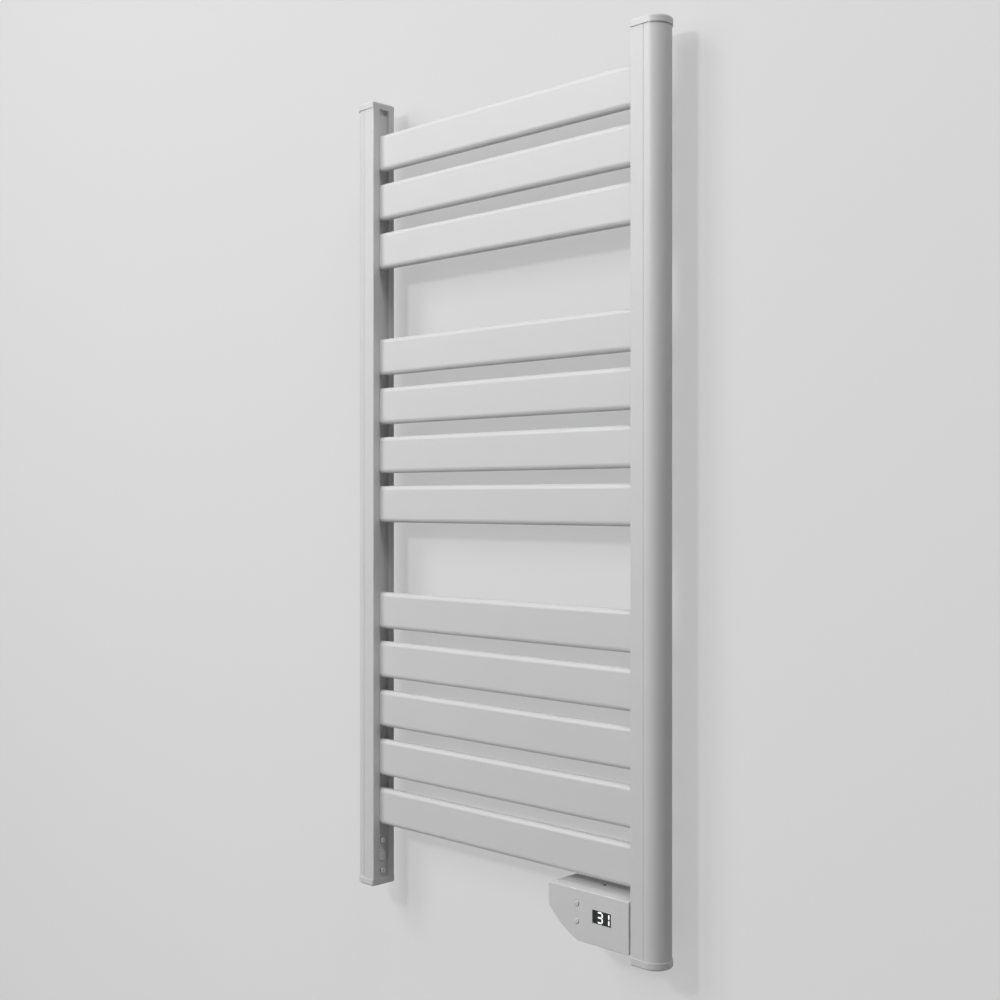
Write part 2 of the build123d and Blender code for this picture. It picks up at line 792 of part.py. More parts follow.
def make_blanking_plug():
    """Oblong rubber plug in the left post's unused lead slot."""
    seat = side_x(-1, channel_depth)
    place = (channel_y, lead_z)
    with BuildPart() as plug:
        with BuildSketch(Plane.YZ.offset(seat)):
            with Locations(place):
                SlotOverall(lead_slot_height - 2 * slide_fit, lead_slot_width - 2 * slide_fit, rotation=90)
        extrude(amount=-blank_depth)
        with BuildSketch(Plane.YZ.offset(seat)):
            with Locations(place):
                SlotOverall(lead_slot_height + 2 * blank_rim, lead_slot_width + 2 * blank_rim, rotation=90)
        extrude(amount=blank_flange)
        fillet(plug.faces().sort_by(Axis.X)[-1].edges(), blank_edge)
    save(plug, "blanking_plug")


def make_display():
    """Clear window with a rim behind the opening, and the digit module behind it."""
    wall_back = box_front + shell_wall
    with BuildPart() as window:
        with BuildSketch(facing_plane(wall_back)):
            with Locations(display_place):
                Rectangle(display_width - 2 * slide_fit, display_height - 2 * slide_fit)
        extrude(amount=window_thickness)
        with BuildSketch(facing_plane(wall_back + window_rim_thickness)):
            with Locations(display_place):
                Rectangle(display_width + 2 * window_rim, display_height + 2 * window_rim)
        extrude(amount=window_rim_thickness)
    save(window, "display_window")
    with BuildPart() as module:
        with BuildSketch(facing_plane(board_front)):
            with Locations(display_place):
                Rectangle(display_width - 2 * module_inset, display_height - 2 * module_inset)
        extrude(amount=board_front - wall_back - window_rim_thickness - seat_gap)
        chamfer(module.faces().sort_by(Axis.Y)[0].edges(), module_edge)
    save(module, "display_module")


def make_button(name, place):
    """Raised push button with a flange behind the cover and a stem to its switch."""
    flange_front = box_front + shell_wall + seat_gap
    stem_end = board_front - switch_height - button_travel - slide_fit
    with BuildPart() as button:
        with BuildSketch(facing_plane(flange_front)):
            with Locations(place):
                Circle(button_diameter / 2)
        extrude(amount=flange_front - box_front + button_proud)
        fillet(button.faces().sort_by(Axis.Y)[0].edges(), button_edge)
        with BuildSketch(facing_plane(flange_front + button_flange_thickness)):
            with Locations(place):
                Circle(button_flange / 2)
        extrude(amount=button_flange_thickness)
        with BuildSketch(facing_plane(stem_end)):
            with Locations(place):
                Circle(button_stem / 2)
        extrude(amount=stem_end - flange_front)
    save(button, name)


def make_board():
    """Circuit board behind the buttons and display, held on the cover's pegs."""
    with BuildPart() as board:
        with BuildSketch(facing_plane(board_back)):
            draw_rectangle(board_x_low, board_x_high, board_z_low, board_z_high)
            with Locations(*board_pegs):
                Circle(board_peg / 2 + slide_fit, mode=Mode.SUBTRACT)
        extrude(amount=board_thickness)
    save(board, "circuit_board")
    with BuildPart() as switches:
        with BuildSketch(facing_plane(board_front)):
            with Locations(*button_places.values()):
                Rectangle(switch_size, switch_size)
        extrude(amount=switch_body)
        with BuildSketch(facing_plane(board_front)):
            with Locations(*button_places.values()):
                Circle(switch_cap / 2)
        extrude(amount=switch_height)
    save(switches, "push_switches")


def make_relay():
    """Switching relay on the back of the board."""
    with BuildPart() as relay:
        with BuildSketch(facing_plane(board_back)):
            with Locations((box_right - relay_inset, face_z)):
                Rectangle(relay_width, relay_height)
        extrude(amount=-relay_depth)
        fillet(relay.faces().sort_by(Axis.Y)[-1].edges(), relay_edge)
    save(relay, "relay")


def make_terminal_block():
    """Three-way terminal block on the back of the board, level with the lead slot."""
    levels = [lead_z + step * lead_pitch for step in (-1, 0, 1)]
    block_x = board_x_high - terminal_length / 2
    with BuildPart() as block:
        with BuildSketch(facing_plane(board_back)):
            with Locations((block_x, lead_z)):
                Rectangle(terminal_length, terminal_height)
        extrude(amount=-terminal_depth)
        with BuildSketch(Plane.YZ.offset(board_x_high)):
            with Locations(*[(channel_y, z) for z in levels]):
                Circle(lead_diameter / 2 + slide_fit)
        extrude(amount=-(lead_start_depth + thread_short), mode=Mode.SUBTRACT)
        with BuildSketch(facing_plane(board_back + terminal_depth)):
            with Locations(*[(block_x, z) for z in levels]):
                Circle(terminal_screw / 2)
        extrude(amount=-terminal_recess)
    save(block, "terminal_block")


def make_room_sensor():
    """Thermistor bead on two legs, just under its hole in the top of the box."""
    x = box_right - sensor_inset
    z = box_top - shell_wall - sensor_drop - sensor_bead / 2
    leg_spacing = sensor_bead / 2
    bead_y = box_front + sensor_setback
    with BuildPart() as sensor:
        with Locations((x, bead_y, z)):
            Sphere(sensor_bead / 2)
        with BuildSketch(facing_plane(bead_y)):
            with Locations((x - leg_spacing / 2, z), (x + leg_spacing / 2, z)):
                Circle(sensor_leg / 2)
        extrude(amount=bead_y - box_joint - cover_screw_grip)
        # The legs come down to the board behind the screw columns
        with BuildSketch(facing_plane(box_joint + cover_screw_grip)):
            draw_rectangle(x - leg_spacing, x + leg_spacing, z - 3 * sensor_leg, z + sensor_leg / 2)
        extrude(amount=sensor_leg)
        with BuildSketch(facing_plane(box_joint + cover_screw_grip)):
            with Locations((x - leg_spacing / 2, z - 2 * sensor_leg),
                           (x + leg_spacing / 2, z - 2 * sensor_leg)):
                Circle(sensor_leg / 2)
        extrude(amount=box_joint + cover_screw_grip - board_back)
    save(sensor, "room_sensor")


def make_inlet_grommet():
    """Rubber grommet in the back of the housing for the supply lead."""
    place = (box_right - inlet_inset, box_top - inlet_drop)
    with BuildPart() as grommet:
        with BuildSketch(facing_plane(box_back + inlet_flange_thickness)):
            with Locations(place):
                Circle(inlet_flange / 2)
        extrude(amount=inlet_flange_thickness)
        with BuildSketch(facing_plane(box_back)):
            with Locations(place):
                Circle(inlet_hole / 2)
        extrude(amount=shell_wall)
        with BuildSketch(facing_plane(box_back - shell_wall)):
            with Locations(place):
                Circle(inlet_flange / 2)
        extrude(amount=inlet_flange_thickness)
        fillet(grommet.faces().sort_by(Axis.Y)[-1].edges(), inlet_flange_thickness / 2)
        with BuildSketch(facing_plane(box_back + 2 * inlet_flange_thickness)):
            with Locations(place):
                Circle(inlet_bore / 2)
        extrude(amount=shell_wall + 4 * inlet_flange_thickness, mode=Mode.SUBTRACT)
    save(grommet, "inlet_grommet")


# Heating element
element_seat = boss_bottom - washer_thickness
pin_low = element_seat - element_head_height - element_pin_length


def make_element():
    """Immersion element: hexagon head, thread, long sheath and two terminal pins."""
    with BuildPart() as element:
        with BuildSketch(Plane.XY.offset(element_seat)):
            with Locations((chamber_x, chamber_y)):
                RegularPolygon(element_hexagon / 2, 6, major_radius=False, rotation=30)
        extrude(amount=-element_head_height)
        with BuildSketch(Plane.XY.offset(element_seat)):
            with Locations((chamber_x, chamber_y)):
                Circle(element_thread / 2)
        extrude(amount=washer_thickness + boss_plug_thickness - thread_short)
        with BuildSketch(Plane.XY.offset(element_seat)):
            with Locations((chamber_x, chamber_y)):
                Circle(element_tube / 2)
        extrude(amount=element_length)
        fillet(element.faces().sort_by(Axis.Z)[-1].edges(), element_tip)
        with BuildSketch(Plane.XY.offset(element_seat - element_head_height)):
            with Locations((chamber_x - element_pin_spacing / 2, channel_y),
                           (chamber_x + element_pin_spacing / 2, channel_y)):
                Circle(element_pin / 2)
        extrude(amount=-element_pin_length)
    save(element, "heating_element")
    with BuildPart() as washer:
        with BuildSketch(Plane.XY.offset(boss_bottom)):
            with Locations((chamber_x, chamber_y)):
                Circle(element_hexagon / 2)
                Circle(element_thread / 2 + slide_fit, mode=Mode.SUBTRACT)
        extrude(amount=-washer_thickness)
    save(washer, "element_washer")


def make_thermal_cutout():
    """Bimetal safety cut-out on the rear wall of the dry space below the element."""
    z = boss_bottom - cutout_drop
    with BuildPart() as cutout:
        with BuildSketch(facing_plane(chamber_back)):
            with Locations((chamber_x, z)):
                Circle(cutout_diameter / 2)
        extrude(amount=cutout_thickness)
        with BuildSketch(facing_plane(chamber_back - cutout_thickness)):
            with Locations((chamber_x - cutout_diameter / 4, z), (chamber_x + cutout_diameter / 4, z)):
                Rectangle(cutout_tab, cutout_tab_width)
        extrude(amount=cutout_tab_length)
    save(cutout, "thermal_cutout")


def make_lead(name, step, rise_x, rise_top):
    """One internal lead: from the terminal block through the post's wall, then up."""
    z = lead_z + step * lead_pitch
    start = (board_x_high - lead_start_depth, channel_y, z)
    corner = (rise_x, channel_y, z)
    end = (rise_x, channel_y, rise_top)
    bend = min(rise_top - z, rise_x - start[0]) * lead_bend
    with BuildPart() as lead:
        with BuildLine() as route:
            FilletPolyline(start, corner, end, radius=bend)
        with BuildSketch(Plane.YZ.offset(start[0])):
            with Locations((channel_y, z)):
                Circle(lead_diameter / 2)
        sweep(path=route.line)
    save(lead, name)


make_post(-1, "left_post")
make_post(1, "right_post")
make_cap(-1, True, "top_cap_left")
make_cap(1, True, "top_cap_right")
make_cap(-1, False, "bottom_cap_left")
make_cap(1, False, "bottom_cap_right")
make_plugs()
make_fill_screw()
make_element_boss()
make_plug_seals()
for number, level in enumerate(bar_levels, start=1):
    make_bar(number, level)
make_bar_ends()
for corner, place in bracket_places.items():
    make_wall_cup(corner, place)
    make_hanger(corner, place)
make_bracket_fixings()
make_front_cover()
make_rear_housing()
make_controller_screws()
make_blanking_plug()
make_display()
for name, place in button_places.items():
    make_button(name, place)
make_board()
make_relay()
make_terminal_block()
make_room_sensor()
make_inlet_grommet()
make_element()
make_thermal_cutout()
earth_x = side_x(1, post_width - post_wall - earth_inset)
make_lead("lead_live", 1, chamber_x - element_pin_spacing / 2, pin_low)
make_lead("lead_neutral", 0, chamber_x + element_pin_spacing / 2, pin_low)
make_lead("lead_earth", -1, earth_x, boss_bottom)
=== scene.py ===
import math

import bpy
import numpy as np
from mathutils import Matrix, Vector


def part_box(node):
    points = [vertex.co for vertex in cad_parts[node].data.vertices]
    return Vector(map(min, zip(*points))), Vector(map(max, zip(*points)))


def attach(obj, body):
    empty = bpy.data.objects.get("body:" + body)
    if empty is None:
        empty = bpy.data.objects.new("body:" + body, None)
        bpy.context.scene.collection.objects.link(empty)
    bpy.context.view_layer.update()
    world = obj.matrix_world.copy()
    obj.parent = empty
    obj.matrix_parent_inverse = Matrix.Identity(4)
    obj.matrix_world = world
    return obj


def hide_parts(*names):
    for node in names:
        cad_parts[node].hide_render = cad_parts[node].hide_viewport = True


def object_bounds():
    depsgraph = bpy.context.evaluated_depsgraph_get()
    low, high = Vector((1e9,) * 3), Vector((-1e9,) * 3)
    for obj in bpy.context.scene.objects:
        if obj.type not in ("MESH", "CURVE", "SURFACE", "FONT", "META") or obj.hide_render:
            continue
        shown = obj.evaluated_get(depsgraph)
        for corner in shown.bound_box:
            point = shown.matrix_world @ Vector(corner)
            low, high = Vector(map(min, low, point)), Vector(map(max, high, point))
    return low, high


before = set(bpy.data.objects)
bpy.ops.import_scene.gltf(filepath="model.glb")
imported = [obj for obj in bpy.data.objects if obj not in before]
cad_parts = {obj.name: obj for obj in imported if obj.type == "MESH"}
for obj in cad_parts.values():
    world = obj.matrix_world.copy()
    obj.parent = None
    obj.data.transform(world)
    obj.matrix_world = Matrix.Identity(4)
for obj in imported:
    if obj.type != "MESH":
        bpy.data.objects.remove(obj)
cad_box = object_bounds()

bl_info = {
    "name": "Wall-hung towel radiator",
    "version": (1, 0, 0),
    "blender": (4, 5, 0),
    "location": "3D View > Sidebar > Towel radiator",
    "description": "Dresses the packed towel radiator with its finishes, fine pieces and a wall",
    "category": "Add Mesh",
}


def linear(hex_colour):
    """Linear RGBA of an sRGB hex colour, by the standard's straight part and 2.4 power."""
    channels = np.array([int(hex_colour[i:i + 2], 16) for i in (1, 3, 5)]) / 255
    curved = ((channels + 0.055) / 1.055) ** 2.4
    return (*np.where(channels <= 0.04045, channels / 12.92, curved).tolist(), 1.0)


def colour_setting(name, hex_colour, description):
    """Colour property whose default is written as sRGB hex."""
    return bpy.props.FloatVectorProperty(name=name, description=description, subtype="COLOR",
                                         size=4, min=0, max=1, default=linear(hex_colour))


def length_setting(name, millimetres, description):
    """Length property whose default is written in millimetres."""
    return bpy.props.FloatProperty(name=name, description=description, subtype="DISTANCE",
                                   unit="LENGTH", precision=5, default=millimetres / 1000)


class ColourSettings(bpy.types.PropertyGroup):
    """Colours of the radiator's own finishes."""
    powder_coat: colour_setting("Powder coat", "#DCDCDC", "Satin white coat of posts and bars")
    cap_plastic: colour_setting("Caps", "#DADADA", "Moulded end caps")
    box_plastic: colour_setting("Controller", "#DDDDDD", "Moulded controller shells")
    window: colour_setting("Window", "#0B0B0C", "Smoked display window")
    digits: colour_setting("Digits", "#F4F6F8", "Lit segments of the display")


class StageSettings(bpy.types.PropertyGroup):
    """Wall, floor and light."""
    wall: colour_setting("Wall", "#EAEAEA", "Painted wall behind the radiator")
    floor: colour_setting("Floor", "#E6E6E6", "Floor below the radiator")
    floor_drop: length_setting("Floor drop", 600, "Floor below the radiator's lowest point")
    world: bpy.props.FloatProperty(name="Surroundings", description="Even light from all round",
                                   default=0.1, min=0)
    left: bpy.props.FloatProperty(name="Left panel", description="Soft panel at the left, in front",
                                  default=12, min=0, unit="POWER")
    key: bpy.props.FloatProperty(name="Key panel", description="Small panel in front, above the middle",
                                 default=23, min=0, unit="POWER")
    high: bpy.props.FloatProperty(name="High panel", description="Soft panel high at the left, in front",
                                  default=34, min=0, unit="POWER")
    above: bpy.props.FloatProperty(name="Top panel", description="Soft panel above, at the right",
                                   default=17, min=0, unit="POWER")


class DisplaySettings(bpy.types.PropertyGroup):
    """Digits of the display, buttons and screw heads."""
    digit_width: length_setting("Digit width", 8.3, "Width of one digit's cell")
    digit_height: length_setting("Digit height", 12.3, "Height of one digit's cell")
    digit_pitch: length_setting("Digit pitch", 9.0, "Middle of one digit to the middle of the next")
    digit_start: length_setting("First digit", 10.05, "Left side of the window to the first digit's middle")
    stroke: length_setting("Stroke", 1.8, "Width of a segment")
    gap: length_setting("Gap", 0.22, "Dark gap between two segments")
    button_rim: length_setting("Button rim", 0.8, "Rounding of a button's front edge")
    button_crown: length_setting("Button crown", 0.2, "How far a button's middle stands before its rim")
    sensor_tip: length_setting("Sensor tip", 3.8, "Diameter of the tip in the room sensor's hole")
    recess_width: length_setting("Recess width", 1.0, "Width of a cross recess's arms")
    recess_length: length_setting("Recess length", 3.8, "Length of a cross recess's arms")
    recess_depth: length_setting("Recess depth", 1.2, "Depth of a cross recess")


# Materials
def add_node(tree, kind, sockets=None, **settings):
    """Adds one node: settings are its own properties, sockets the values or links it takes."""
    node = tree.nodes.new(kind)
    for name, value in settings.items():
        setattr(node, name, value)
    for name, value in (sockets or {}).items():
        if isinstance(value, bpy.types.NodeSocket):
            tree.links.new(value, node.inputs[name])
        else:
            node.inputs[name].default_value = value
    return node


def start_material(name):
    """Empty node material with its output, and object coordinates in metres."""
    material = bpy.data.materials.new(name)
    material.use_nodes = True
    tree = material.node_tree
    tree.nodes.clear()
    output = add_node(tree, "ShaderNodeOutputMaterial")
    place = add_node(tree, "ShaderNodeTexCoord").outputs["Object"]
    return material, tree, output, place


def coat_material(name, colour, grain_mm, depth_mm, roughness, shade=0.96, metallic=0.0, ior=1.5,
                  stretch=(1, 1, 1)):
    """Surface with a fine grain: colour drifts over patches, and the grain stands up a little.

    The grain is noise whose period is grain_mm; patches are forty grains across and mix the
    colour with a shade of it.
    """
    material, tree, output, place = start_material(name)
    if tuple(stretch) != (1, 1, 1):
        place = add_node(tree, "ShaderNodeMapping", {"Vector": place, "Scale": stretch}).outputs["Vector"]
    grain = add_node(tree, "ShaderNodeTexNoise",
                     {"Vector": place, "Scale": 1000 / grain_mm, "Detail": 3.0, "Roughness": 0.5})
    patches = add_node(tree, "ShaderNodeTexNoise",
                       {"Vector": place, "Scale": 25 / grain_mm, "Detail": 2.0})
    mixed = add_node(tree, "ShaderNodeMix",
                     {"Factor": patches.outputs["Fac"],
                      "A": (*[c * shade for c in colour[:3]], 1.0), "B": (*colour[:3], 1.0)},
                     data_type="RGBA")
    rough = add_node(tree, "ShaderNodeMapRange",
                     {"Value": grain.outputs["Fac"], "To Min": roughness * 0.88, "To Max": roughness * 1.12})
    bump = add_node(tree, "ShaderNodeBump",
                    {"Height": grain.outputs["Fac"], "Strength": 1.0, "Distance": depth_mm / 1000})
    shader = add_node(tree, "ShaderNodeBsdfPrincipled",
                      {"Base Color": mixed.outputs["Result"], "Roughness": rough.outputs["Result"],
                       "Metallic": metallic, "IOR": ior, "Normal": bump.outputs["Normal"]})
    tree.links.new(shader.outputs["BSDF"], output.inputs["Surface"])
    return material


def background_rays(tree):
    """1 for rays that show the background: straight from the camera, reflected or refracted."""
    light = add_node(tree, "ShaderNodeLightPath")
    shown = add_node(tree, "ShaderNodeMath",
                     {0: light.outputs["Is Camera Ray"], 1: light.outputs["Is Glossy Ray"]},
                     operation="MAXIMUM")
    return add_node(tree, "ShaderNodeMath",
                    {0: shown.outputs[0], 1: light.outputs["Is Transmission Ray"]},
                    operation="MAXIMUM").outputs[0]


# How the stage is painted: share and strength of its even glow, and lightness to other rays
GLOW_SHARE, GLOW_STRENGTH, BOUNCE = 0.62, 0.85, 0.4


def stage_material(name, colour):
    """Matt paint seen from the front and nothing from behind, with a roller's fine mottle.

    Background rays see paint that keeps the shadows, mixed with an even glow of the same colour;
    other rays see a paint of its own lightness, which sets how much light it throws back.
    """
    material, tree, output, place = start_material(name)
    mottle = add_node(tree, "ShaderNodeTexNoise", {"Vector": place, "Scale": 3.0, "Detail": 2.0})
    mixed = add_node(tree, "ShaderNodeMix",
                     {"Factor": mottle.outputs["Fac"],
                      "A": (*[c * 0.99 for c in colour[:3]], 1.0), "B": (*colour[:3], 1.0)},
                     data_type="RGBA")
    paint = add_node(tree, "ShaderNodeBsdfDiffuse", {"Color": mixed.outputs["Result"]})
    even = add_node(tree, "ShaderNodeEmission", {"Color": mixed.outputs["Result"], "Strength": GLOW_STRENGTH})
    seen = add_node(tree, "ShaderNodeMixShader", {0: GLOW_SHARE, 1: paint.outputs[0], 2: even.outputs[0]})
    thrown = add_node(tree, "ShaderNodeBsdfDiffuse", {"Color": (BOUNCE, BOUNCE, BOUNCE, 1.0)})
    front = add_node(tree, "ShaderNodeMixShader",
                     {0: background_rays(tree), 1: thrown.outputs[0], 2: seen.outputs[0]})
    nothing = add_node(tree, "ShaderNodeBsdfTransparent")
    facing = add_node(tree, "ShaderNodeNewGeometry")
    both = add_node(tree, "ShaderNodeMixShader",
                    {0: facing.outputs["Backfacing"], 1: front.outputs[0], 2: nothing.outputs[0]})
    tree.links.new(both.outputs[0], output.inputs["Surface"])
    return material


def digit_material():
    """Lit segment: a white diode behind a diffuser, its brightness drifting a little over its face."""
    material, tree, output, place = start_material("white_diode")
    spread = add_node(tree, "ShaderNodeTexNoise", {"Vector": place, "Scale": 900.0, "Detail": 1.0})
    shade = linear("#D9DCE0")
    mixed = add_node(tree, "ShaderNodeMix",
                     {"Factor": spread.outputs["Fac"], "A": shade,
                      "B": bpy.context.scene.towel_rail_colours.digits}, data_type="RGBA")
    shader = add_node(tree, "ShaderNodeBsdfPrincipled",
                      {"Base Color": mixed.outputs["Result"], "Roughness": 0.4,
                       "Emission Color": mixed.outputs["Result"], "Emission Strength": 0.75})
    tree.links.new(shader.outputs["BSDF"], output.inputs["Surface"])
    return material


def make_finishes():
    """Every finish of the radiator, by the name of its material slot in the record."""
    colours = bpy.context.scene.towel_rail_colours
    return {
        # Satin polyester powder coat on aluminium: fine orange peel, soft broad highlights
        "powder_coat": coat_material("powder_coat", colours.powder_coat, 1.6, 0.012, 0.42),
        # Moulded ASA end caps, a little glossier than the coat
        "cap_plastic": coat_material("moulded_asa", colours.cap_plastic, 1.2, 0.008, 0.36),
        # Powder coated die-cast brackets, coarser peel than on the bars
        "bracket_coat": coat_material("cast_bracket_coat", colours.powder_coat, 2.2, 0.03, 0.45),
        # Bare extruded aluminium: die lines along the length
        "alloy": coat_material("mill_aluminium", linear("#C9CBCD"), 0.8, 0.01, 0.35, 0.9, 1.0,
                               stretch=(1, 1, 0.05)),
        # Moulded EPDM seals: matt black
        "seal_rubber": coat_material("epdm_rubber", linear("#232323"), 0.7, 0.02, 0.75, 0.85),
        # Pressed fibre washers: red brown with dark fibres
        "fibre": coat_material("pressed_fibre", linear("#7A4330"), 0.5, 0.03, 0.8, 0.7, stretch=(1, 1, 4)),
        # Bright zinc plated screws
        "zinc_steel": coat_material("zinc_plated_steel", linear("#C8C7C5"), 0.6, 0.006, 0.28, 0.88, 1.0),
        "boss_brass": coat_material("turned_brass", linear("#C9A65E"), 0.5, 0.006, 0.3, 0.85, 1.0,
                                    stretch=(0.2, 0.2, 3)),
        "element_steel": coat_material("drawn_stainless_steel", linear("#BDBCB8"), 0.6, 0.006, 0.3, 0.9, 1.0,
                                       stretch=(1, 1, 0.05)),
        # Moulded ABS with a spark-eroded satin texture
        "box_plastic": coat_material("textured_abs", colours.box_plastic, 0.9, 0.012, 0.48),
        # Soft PVC blanking plug, made whiter than the coat as painted light, so that it shows lit against the
        # shade in its channel
        "plug_plastic": coat_material("soft_pvc", linear("#F2F2F0"), 0.9, 0.012, 0.5, 0.93),
        "button_plastic": coat_material("button_abs", colours.box_plastic, 0.8, 0.006, 0.4),
        "window_black": coat_material("smoked_acrylic", colours.window, 1.0, 0.001, 0.08, 0.8),
        "module_black": coat_material("black_epoxy", linear("#141414"), 0.8, 0.008, 0.5, 0.8),
        "board_green": coat_material("solder_mask", linear("#1E5A38"), 1.5, 0.02, 0.35, 0.8),
        "black_plastic": coat_material("black_nylon", linear("#1B1B1B"), 0.8, 0.012, 0.5, 0.8),
        "terminal_grey": coat_material("grey_polyamide", linear("#8B8F92"), 0.8, 0.012, 0.5, 0.9),
        "cutout_black": coat_material("phenolic_resin", linear("#1D1A18"), 0.7, 0.015, 0.45, 0.8),
        "lead_brown": coat_material("brown_silicone_lead", linear("#5A3420"), 0.8, 0.01, 0.5, 0.9),
        "lead_blue": coat_material("blue_silicone_lead", linear("#1F4E9A"), 0.8, 0.01, 0.5, 0.9),
        "lead_green": coat_material("green_yellow_lead", linear("#5B8F2C"), 0.8, 0.01, 0.5, 0.7),
    }


# Surfaces
def skin(rings, closed=True):
    """Points and faces of rings joined into a tube: row r, column c meets row r + 1, column c + 1.

    Columns wrap round, and one flat face closes each end.
    """
    rows, columns = rings.shape[:2]
    index = np.arange(rows * columns).reshape(rows, columns)
    beside = np.roll(index, -1, axis=1)
    quads = np.stack([index[:-1], beside[:-1], beside[1:], index[1:]], axis=-1).reshape(-1, 4)
    ends = [index[:1, ::-1], index[-1:]] if closed else []
    return rings.reshape(-1, 3), [quads, *ends]


def turned(profile, centre, steps=64):
    """Solid of revolution about +Y: (radius, y) pairs swept round a centre at (x, z).

    x = cx + r cos t and z = cz + r sin t; a radius of nought at either end makes a closed pole.
    """
    angle = np.arange(steps) * 2 * math.pi / steps
    radius, depth = profile[1:-1].T
    rings = np.stack([centre[0] + np.outer(radius, np.cos(angle)),
                      np.repeat(depth[:, None], steps, axis=1),
                      centre[1] + np.outer(radius, np.sin(angle))], axis=-1)
    points, faces = skin(rings, closed=False)
    count = len(points)
    poles = [(centre[0], profile[end, 1], centre[1]) for end in (0, -1)]
    ring = np.arange(steps)
    last = ring + count - steps
    fans = [np.stack([np.roll(ring, -1), ring, np.full(steps, count)], axis=-1),
            np.stack([last, np.roll(last, -1), np.full(steps, count + 1)], axis=-1)]
    return np.vstack([points, poles]), [*faces, *fans]


def together(shapes):
    """Several (points, faces) shapes as one, their indices shifted past the points before them."""
    points, faces, count = [], [], 0
    for some_points, some_faces in shapes:
        points.append(some_points)
        faces += [block + count for block in some_faces]
        count += len(some_points)
    return np.vstack(points), faces


def outward(points, faces):
    """The faces turned so that the solid's signed volume, a sum of fans' determinants, is positive."""
    volume = sum(np.einsum("ij,ij->", points[block[:, 0]],
                           np.cross(points[block[:, i]], points[block[:, i + 1]]))
                 for block in faces for i in range(1, block.shape[1] - 1))
    return faces if volume > 0 else [block[:, ::-1] for block in faces]


def add_piece(name, shapes, material, body, stands_for=(), crease=35):
    """Object made of closed shapes, riding on a body, with edges sharper than crease degrees kept."""
    points, faces = together([(points, outward(points, faces)) for points, faces in shapes])
    corners = np.concatenate([block.ravel() for block in faces]).astype(np.int32)
    sizes = np.concatenate([np.full(len(block), block.shape[1]) for block in faces])
    starts = np.concatenate([[0], np.cumsum(sizes)[:-1]]).astype(np.int32)
    mesh = bpy.data.meshes.new(name)
    mesh.vertices.add(len(points))
    mesh.vertices.foreach_set("co", points.astype(np.float32).ravel())
    mesh.loops.add(len(corners))
    mesh.loops.foreach_set("vertex_index", corners)
    mesh.polygons.add(len(sizes))
    mesh.polygons.foreach_set("loop_start", starts)
    mesh.update(calc_edges=True)
    if mesh.validate():
        raise RuntimeError(f"{name} has bad faces")
    mesh.shade_smooth()
    mesh.set_sharp_from_angle(angle=math.radians(crease))
    mesh.materials.append(material)
    piece = bpy.data.objects.new(name, mesh)
    bpy.context.scene.collection.objects.link(piece)
    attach(piece, body)
    if stands_for:
        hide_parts(*stands_for)
    return piece


# Pieces
class RADIATOR_OT_finishes(bpy.types.Operator):
    """Gives every piece of the frame the finish of its slot"""
    bl_idname = "towel_rail.finishes"
    bl_label = "Finishes"

    def execute(self, context):
        finishes = make_finishes()
        for name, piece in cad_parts.items():
            for place in piece.material_slots:
                key = place.material.name.split(".")[0] if place.material else ""
                if key not in finishes:
                    raise RuntimeError(f"{name} has the unknown slot {key}")
                place.material = finishes[key]
        return {"FINISHED"}


SEGMENTS = {"a": (0, 1, "across"), "b": (1, 0.5, "up"), "c": (1, -0.5, "up"), "d": (0, -1, "across"),
            "e": (-1, -0.5, "up"), "f": (-1, 0.5, "up"), "g": (0, 0, "across")}
DIGITS = {"1": "bc", "3": "abcdg"}
# Width of the cover's opening before the display, thickness of a segment and a hair's breadth, in metres
WINDOW_OPENING, SEGMENT_DEPTH, HAIR = 0.0255, 0.00004, 0.00002


def segment(centre, letter, settings, front, longer=0.0):
    """One pointed segment of a digit: a long hexagon in X and Z, carried along Y.

    An upright segment's outer end goes on by longer, where no segment crosses it.
    """
    right, level, way = SEGMENTS[letter]
    half_width = (settings.digit_width - settings.stroke) / 2
    half_height = (settings.digit_height - settings.stroke) / 2
    reach = (half_width if way == "across" else half_height / 2) - settings.gap
    half = settings.stroke / 2
    along = np.array([-reach, half - reach, reach - half, reach, reach - half, half - reach])
    aside = np.array([0, half, half, 0, -half, -half])
    if way == "up":
        along = along + longer * np.sign(level) * (np.sign(along) == np.sign(level))
    x, z = (along, aside) if way == "across" else (aside, along)
    ring = np.stack([centre[0] + right * half_width + x, np.zeros(6),
                     centre[1] + level * half_height + z], axis=-1)
    return skin(np.stack([ring + (0, front, 0), ring + (0, front + SEGMENT_DEPTH, 0)]))


class RADIATOR_OT_digits(bpy.types.Operator):
    """Lit and unlit segments of the temperature display"""
    bl_idname = "towel_rail.digits"
    bl_label = "Digits"

    def execute(self, context):
        settings = context.scene.towel_rail_display
        low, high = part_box("display_window")
        rim = (high[0] - low[0] - WINDOW_OPENING) / 2
        front = low[1] - HAIR
        z = (low[2] + high[2]) / 2
        lit, unlit = [], []
        for place, digit in enumerate("31"):
            centre = (low[0] + rim + settings.digit_start + place * settings.digit_pitch, z)
            for letter in SEGMENTS:
                shapes = lit if letter in DIGITS[digit] else unlit
                alone = digit == "1" and letter in DIGITS[digit]
                shapes.append(segment(centre, letter, settings, front - HAIR * alone,
                                      settings.stroke / 2 * alone))
        add_piece("lit_segments", lit, digit_material(), "radiator")
        add_piece("unlit_segments", unlit,
                  coat_material("dark_segment", linear("#1A1A1C"), 1.0, 0.001, 0.3, 0.9),
                  "radiator")
        return {"FINISHED"}


# Sizes of a button in metres, as in the part
BUTTON_RADIUS, FLANGE_RADIUS, STEM_RADIUS = 0.0033, 0.0045, 0.0015
FLANGE_FRONT, FLANGE_BACK = 0.0032, 0.0041


